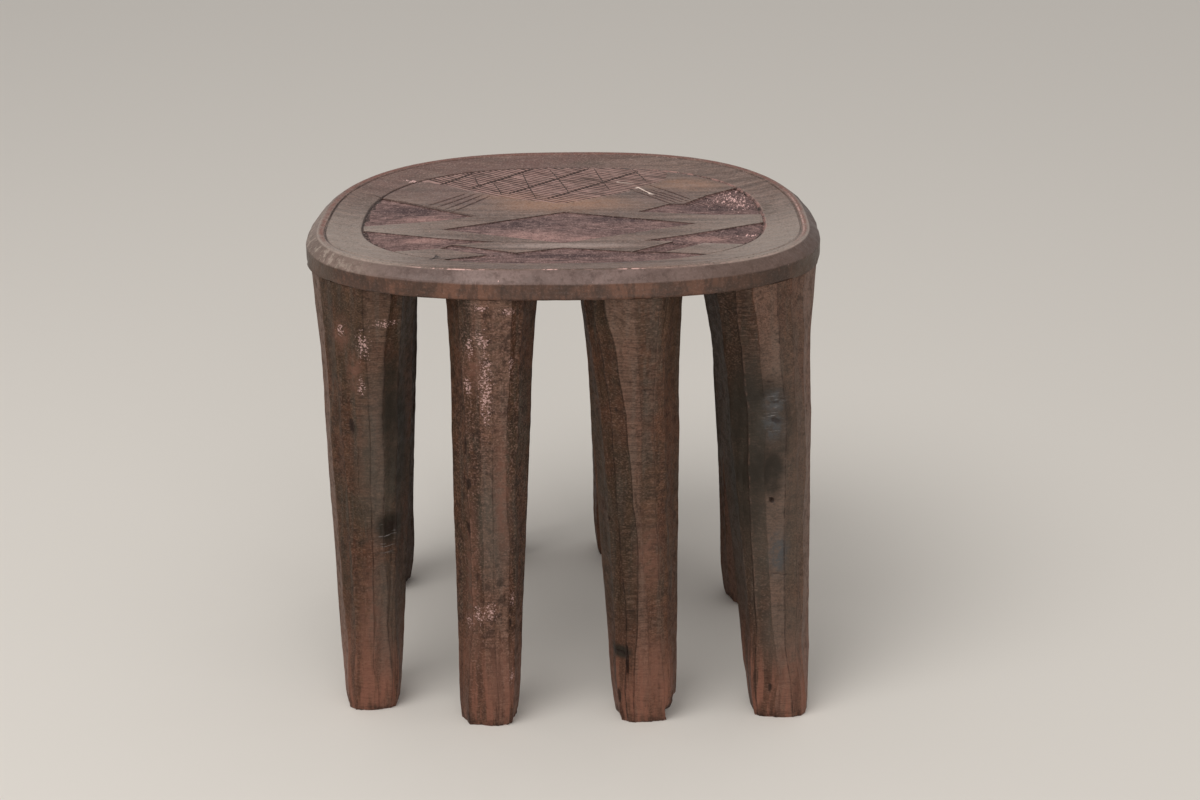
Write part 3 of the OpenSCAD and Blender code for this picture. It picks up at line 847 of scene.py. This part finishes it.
def leg_section(name, z):
    """The middle, half sizes and frame of a leg's oval section at a height, and where its front starts.
    The legs at the back are a little narrower at the foot."""
    head, foot, turn, head_w, stout, taper, ridges = LEGS[name][:7]
    middle = Vector(foot).lerp(Vector(head), z / UNDER_Z)
    low, high = stout * (1 - taper), stout * (1 + taper)
    worn_off = 0 if ridges else 0.0015
    half_w = thickness(z, FOOT_W * low - worn_off, ANKLE_W * stout, KNEE_W * high, head_w) / 2
    foot_d, ankle_d, foot_turn = CORNER_FEET.get(name, (FOOT_D, ANKLE_D, 0))
    half_d = thickness(z, foot_d * low, ankle_d * stout, KNEE_D * high, HEAD_D * stout) / 2
    twist = foot_turn * smooth(0.10, 0.01, z)
    spin = Matrix.Rotation(radians(turn + twist), 2)
    away = (middle - SEEN_FROM.xy).normalized()
    right = Vector((away.y, -away.x))
    first = atan2(right.dot(spin @ Vector((0, half_d))), right.dot(spin @ Vector((half_w, 0))))
    return middle, half_w, half_d, spin, first


def leg_point(name, z, round_front):
    """A point of the oval: round_front runs from 0 at the right edge over the front to pi at the left."""
    middle, half_w, half_d, spin, first = leg_section(name, z)
    t = first - round_front
    power = 1 - 0.38 * smooth(0.10, 0.01, z)
    x, y = (copysign(abs(v) ** power, v) for v in (cos(t), sin(t)))
    return middle + spin @ Vector((half_w * x, half_d * y))


def on_leg(name, share, z):
    p = leg_point(name, z, acos(share))
    return Vector((p.x, p.y, z))


def ridge_share(ridge, z, seed):
    """Where a ridge runs at a height, between the heights that are given, with the hand's wander."""
    k = min(len(UP) - 2, max(0, int((UP[0] - z) / UP_STEP)))
    t = smooth(0, UP_STEP, UP[k] - z)
    share = ridge[k] * (1 - t) + ridge[k + 1] * t
    return share + 0.022 * drift(z * 38, seed * 5.1) + 0.012 * drift(z * 120, seed * 3.3)


# Dents, cracks and chips of the legs: the place on a leg's front as a share and a height, the half
# width and half height, the slant from upright in degrees, and the depth, all but the share in mm.
DAMAGE = {
    "leg_front_right": [
        (-0.40, 56, 1.3, 15, 4, 1.6), (-0.58, 61, 9, 1.4, -8, 0.9), (-0.73, 23, 1.6, 8, 0, 1.2),
        (0.97, -3, 13, 24, 20, 8.5), (0.28, 281, 8, 0.9, 4, 0.7), (-0.42, 265, 2.2, 2.6, 0, 0.8),
        (-0.74, 174, 2.2, 3.2, 0, 0.8)],
    "leg_right_front": [
        (0.12, 183, 1.8, 2.0, 0, 2.2), (0.16, 278, 5, 1.0, 0, 0.7), (0.30, 262, 9, 1.3, 12, 0.6),
        (0.26, 247, 7, 3.5, -20, 0.6), (-0.20, 27, 1.0, 9, 14, 1.0), (0.25, 122, 11, 1.0, -10, 0.6)],
    "leg_left_front": [(-0.40, 242, 3.5, 7, 10, 0.9), (0.55, 157, 9, 9, 30, 0.6)],
    "leg_front_left": [
        (-0.70, 236, 3.0, 9, 0, 1.2), (-0.62, 205, 3.5, 6, -15, 1.0), (-0.66, 168, 3.2, 8, 10, 1.0),
        (-0.40, 129, 2.2, 5, 0, 0.7), (0.62, 88, 2.0, 5, 0, 0.8)],
}
# The points along a flat from ridge to ridge, and the rows up a leg, closer together at the floor.
SIDE_STEPS = (0.0, 0.06, 0.18, 0.34, 0.50, 0.66, 0.82, 0.94)
TOE_HEIGHTS = [0, 0.0004, 0.0012, 0.0024, 0.0040]
HEIGHTS = TOE_HEIGHTS + [0.0058 + 0.0018 * i for i in range(192)] + [0.351, UNDER_Z]
LEG_MARKS = ("ridge", "crest", "light", "hurt")


def damage_at(name, z, round_front, half_w):
    """How deep the dents and cracks of a leg go at a place, and how dark they are there."""
    deepest, dark = 0.0, 1.0
    for share, up, wide, tall, slant, deep in DAMAGE.get(name, ()):
        if abs(z * 1000 - up) > tall + wide:
            continue
        x = ((round_front - acos(share) + pi) % (2 * pi) - pi) * half_w * -1000
        y = z * 1000 - up
        c, s = cos(radians(slant)), sin(radians(slant))
        ragged = 1 + 0.35 * (drift(x * 0.5, y * 0.5, up) if deep < 3 else drift(x * 0.1, y * 0.1, up))
        away = hypot((x * c + y * s) / wide, (y * c - x * s) / tall) / ragged
        here = deep * 0.001 * (1 - smooth(0.45, 1.15, away))
        if here > deepest:
            deepest, dark = here, 1.0 if deep < 3 else 0.0
    return deepest, dark


def plain_flats(z, seed, first, kind, tone_kind):
    """Five ridges from one edge of a leg to the other and the tones of the six flats between them, for
    a side that has none listed."""
    turns = [pi * (i + first) / 6 + 0.15 * chance(seed, i, kind) + 0.10 * drift(z * 14, i + kind, seed)
             for i in range(5)]
    return turns, [0.6 * chance(seed, i, tone_kind) - 0.1 for i in range(6)]


def leg_ring(name, z, seed):
    """The points of a leg's surface at a height, each with its four marks. They run along the flats
    from ridge to ridge: from the right edge over the front to the left edge, and round the back."""
    ridges, tones = LEGS[name][6:]
    front, front_tones = plain_flats(z, seed, 1, 0, 4)
    back, back_tones = plain_flats(z, seed, 7, 9, 6)
    if ridges:
        shares = [ridge_share(ridge, z, seed + i) for i, ridge in enumerate(ridges)]
        front = [acos(max(-0.995, min(0.995, share))) for share in reversed(shares)]
        front_tones = reversed(tones)
    turns = [0.05 * drift(z * 20, seed), *front, pi + 0.05 * drift(z * 20, seed + 1), *back]
    light = [*front_tones, *back_tones]
    corners = [leg_point(name, z, t) for t in turns]
    middle, half_w = leg_section(name, z)[:2]
    wear = 0.0002 * (1 - smooth(0, 0.0040, z)) + 0.0004 * (1 - smooth(0, 0.0010, z))
    ring = []
    for k, corner in enumerate(corners):
        after = corners[(k + 1) % len(corners)]
        turn_after = turns[k + 1] if k + 1 < len(turns) else turns[0] + 2 * pi
        wide = (after - corner).length
        out = Vector((corner.y - after.y, after.x - corner.x)).normalized()
        if out.dot(corner - middle) < 0:
            out = -out
        strength = 0.35 + 0.65 * chance(seed, k, 12)
        for s in SIDE_STEPS:
            p = corner.lerp(after, s)
            turn = turns[k] * (1 - s) + turn_after * s
            bow = 4 * s * (1 - s)
            tool = 0.0012 * abs(drift(z * 26 + 3 * s, k * 2.7, seed)) * bow ** 0.5
            slow, quick = drift(z * 17, k * 1.9 + s, seed + 3), drift(z * 90, k * 5 + 3 * s, seed)
            hand = 0.0007 * slow + 0.00035 * quick
            p = p + out * (hand - tool - 0.014 * wide * bow * (0.5 + chance(seed, k, 2)))
            hurt, dark = damage_at(name, z, turn, half_w)
            chip = 0.0016 * max(0, drift(turn * 5, z * 160, seed) - 0.05) * (1 - smooth(0.001, 0.009, z))
            p += (middle - p).normalized() * (hurt + chip + wear * (1 + 0.6 * drift(turn * 4, seed, 8)))
            # Near the top the leg runs into the rim: what lies past it is drawn in, what is short, out.
            rim = top_edge(atan2(p.y + TOP_FWD, p.x), 0.0004)
            short = (rim + Vector((0, TOP_FWD))).length - (p + Vector((0, TOP_FWD))).length
            if short < 0:
                p = p.lerp(rim, smooth(0.315, 0.345, z))
            elif short < 0.010 and z > 0.27:
                p = p.lerp(rim, 0.5 * smooth(0.27, 0.330, z) * smooth(0.010, 0.003, short))
            # A flat is dark just past its first ridge and worn light just before its second.
            dark_side = max(0.0, 1 - s * wide / 0.0016) * strength
            light_side = max(0.0, 1 - abs(1 - s) * wide / 0.0030) * (1.1 - strength) if s > 0.5 else 0
            ring.append((p.x, p.y, z, dark_side, light_side, light[k], hurt * 1000 * dark + chip * 300))
    return ring


def leg_spots(place, legs, softness):
    """Spots on the fronts of the legs, listed leg by leg. Each has its share across the leg from its
    left edge, -1, to its right edge, 1, its height, and its half sizes across, through and up, in mm."""
    where = [(on_leg(name, share, up / 1000), (wide / 1000, deep / 1000, tall / 1000))
             for name, rows in legs.items() for share, up, wide, deep, tall in rows]
    return spots(place, where, softness)


legs_wood, tree, place, look = start_wood("wood_legs")
streak, lines, fibre, stain, patina, mottle, grit = look.values()
ridge, crest, light, hurt = (mark(tree, name) for name in LEG_MARKS)
along_y, height = (node(tree, "ShaderNodeSeparateXYZ", {0: place}, output=i) for i in (1, 2))
long_streaks = cloud(place, (170, 170, 16), 5.0, 0.6)
drips = cloud(place, (110, 110, 9), 4.0, 0.6)

# The plain wood: dark brown, streaked down the leg, lighter towards the foot, each flat its own tone:
# on the listed fronts mostly painted light and shade as the flat faces the light, elsewhere a tone at
# random.
tone = coats(rgb(48, 32, 20), [
    (span(streak, 0.36, 0.64), (92, 63, 45)),
    (span(long_streaks, 0.44, 0.62, 0, 0.55), (78, 44, 29)),
    (span(stain, 0.42, 0.60, 0, 0.6), (56, 45, 29)),
    (span(drips, 0.50, 0.62, 0, 0.6), (72, 65, 56)),
    (span(patina, 0.50, 0.66, 0, 0.5), (92, 55, 37)),
    (span(height, 0.130, 0.030, 0, 0.45), (116, 78, 60)),
    # Painted light and shade: each flat is made lighter or darker by its tone, as the light falls on it.
    (span(light, 0.0, 0.8, 0, 0.75), (127, 98, 85)),
    (span(light, 0.0, -0.8, 0, 0.75), (40, 28, 18)),
    (span(lines, 0.48, 0.64, 0, 0.34), (42, 28, 19)),
    (span(fibre, 0.50, 0.66, 0, 0.46), (38, 25, 18)),
    (span(fibre, 0.48, 0.34, 0, 0.4), (122, 96, 82)),
    (span(mottle, 0.49, 0.66, 0, 0.5), (42, 28, 20)),
])

# Specks all over, a speckled leg front, toes worn to bare brown wood, and grey stains.
rubbed = leg_spots(place, {"leg_front_left": [(0.0, 180, 60, 50, 240)]}, 0.4)
toes = times(span(height, 0.095, 0.012), span(along_y, -0.02, -0.09))
grey = leg_spots(place, {
    "leg_right_front": [(0.25, 200, 40, 60, 170), (0.35, 75, 30, 50, 50)],
    "leg_left_front": [(0.25, 210, 28, 50, 100), (0.45, 85, 18, 50, 75)],
    "leg_front_left": [(0.10, 170, 18, 50, 70)]}, 0.7)
tone = coats(tone, [
    (span(grit, 0.54, 0.68, 0, 0.26), (130, 104, 94)),
    (span(grit, 0.46, 0.34, 0, 0.48), (28, 19, 13)),
    (rubbed, span(grit, 0.52, 0.62, 0, 0.30), (150, 116, 104)),
    (rubbed, span(mottle, 0.52, 0.60, 0, 0.45), (46, 30, 23)),
    (toes, span(long_streaks, 0.40, 0.56, 0.85, 0.15), (128, 84, 68)),
    (toes, span(long_streaks, 0.52, 0.66, 0, 0.55), (58, 33, 25)),
    (toes, span(fibre, 0.50, 0.66, 0, 0.3), (60, 38, 30)),
    (grey, 0.46, (80, 74, 66)),
])

# Dark stains, blue grey ones that are partly a painted sheen, with scuffs across the outer legs, and rosy
# worn places.
dark = leg_spots(place, {
    "leg_left_front": [(0.62, 240, 16, 30, 85), (0.50, 157, 16, 30, 18)],
    "leg_right_front": [(0.00, 246, 34, 30, 50), (-0.45, 225, 30, 30, 100), (0.15, 205, 14, 30, 30)],
    "leg_front_right": [(-0.60, 62, 12, 30, 8)]}, 0.6)
blue_stain_and_sheen = leg_spots(place, {
    "leg_right_front": [(0.26, 262, 14, 30, 14), (0.20, 243, 14, 30, 18), (0.22, 140, 12, 30, 28)]}, 0.9)
scuffed = leg_spots(place, {
    "leg_right_front": [(0.25, 252, 13, 30, 30)],
    "leg_left_front": [(0.45, 150, 14, 30, 26)]}, 1.0)
scuffs = times(span(cloud(place, (90, 90, 1100), 2.0, 0.5), 0.60, 0.66), scuffed)
rosy = leg_spots(place, {
    "leg_left_front": [(-0.55, 315, 13, 20, 22), (-0.30, 285, 10, 20, 26), (-0.05, 75, 14, 20, 80)],
    "leg_front_left": [(-0.45, 300, 12, 20, 26), (-0.55, 120, 10, 20, 120), (-0.45, 98, 16, 20, 14),
                       (0.15, 40, 18, 20, 45), (0.30, 200, 10, 20, 90)],
    "leg_front_right": [(0.35, 40, 20, 20, 48), (0.25, 145, 16, 20, 45)],
    "leg_right_front": [(0.30, 35, 20, 20, 45)]}, 0.9)
tone = coats(tone, [
    (dark, span(patina, 0.34, 0.6, 0.5, 0.95), (38, 32, 25)),
    # Painted sheen, partly a stain: blue grey patches on the right front leg.
    (blue_stain_and_sheen, span(mottle, 0.40, 0.58, 0.25, 1.0), (71, 70, 70)),
    (scuffs, 0.6, (142, 136, 134)),
    (rosy, span(mottle, 0.38, 0.60, 0.15, 0.65), (116, 80, 66)),
])

# The ridges between the flats, dark on one side and worn on the other, the dents and cracks, the pink
# flecks where the stain has come off, and the dark line at the floor.
bare = leg_spots(place, {
    "leg_left_front": [(-0.08, 308, 13, 20, 30), (0.36, 325, 28, 20, 8), (-0.16, 274, 8, 20, 18),
                       (-0.56, 318, 8, 20, 14)],
    "leg_front_left": [(-0.15, 286, 14, 20, 78), (-0.52, 316, 9, 20, 22), (-0.24, 322, 14, 20, 22),
                       (-0.25, 348, 16, 20, 8), (-0.58, 284, 8, 20, 24), (0.44, 302, 6, 20, 20),
                       (0.00, 100, 13, 20, 22), (-0.37, 97, 13, 20, 18), (-0.67, 90, 11, 20, 14),
                       (0.35, 345, 14, 20, 10), (0.62, 109, 6, 20, 12), (0.58, 42, 9, 20, 14)]}, 1.0)
flecks = cloud(place, (520, 520, 640), 4.0, 0.7)
fresh = span(plus(flecks, times(bare, 0.27)), 0.75, 0.83)
tone = coats(tone, [
    (span(ridge, 0.1, 0.8), span(mottle, 0.36, 0.6, 0.25, 0.8), (36, 23, 16)),
    (span(crest, 0.15, 0.9), span(mottle, 0.47, 0.60), 0.28, (134, 102, 88)),
    (span(hurt, 0.15, 0.8), 0.8, (32, 19, 14)),
    (fresh, 0.75, (198, 162, 156)),
    (span(height, 0.010, 0.0), span(mottle, 0.4, 0.6, 0, 0.6), (34, 22, 16)),
])

rough = span(mottle, 0.35, 0.7, 0.46, 0.66)
relief = [(streak, 0.0004), (lines, 0.00022), (fibre, 0.00008), (mottle, 0.0006), (grit, 0.00016)]
finish_wood(legs_wood, tone, rough, relief, shine=0.18)

for number, name in enumerate(LEGS):
    rings = [leg_ring(name, z, 10.0 * number + 1) for z in HEIGHTS]
    leg_mesh = to_mesh(name + "_hewn", skin(rings, LEG_MARKS), sharp=20)
    leg = link_piece(name + "_hewn", leg_mesh, legs_wood)
    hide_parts(name)
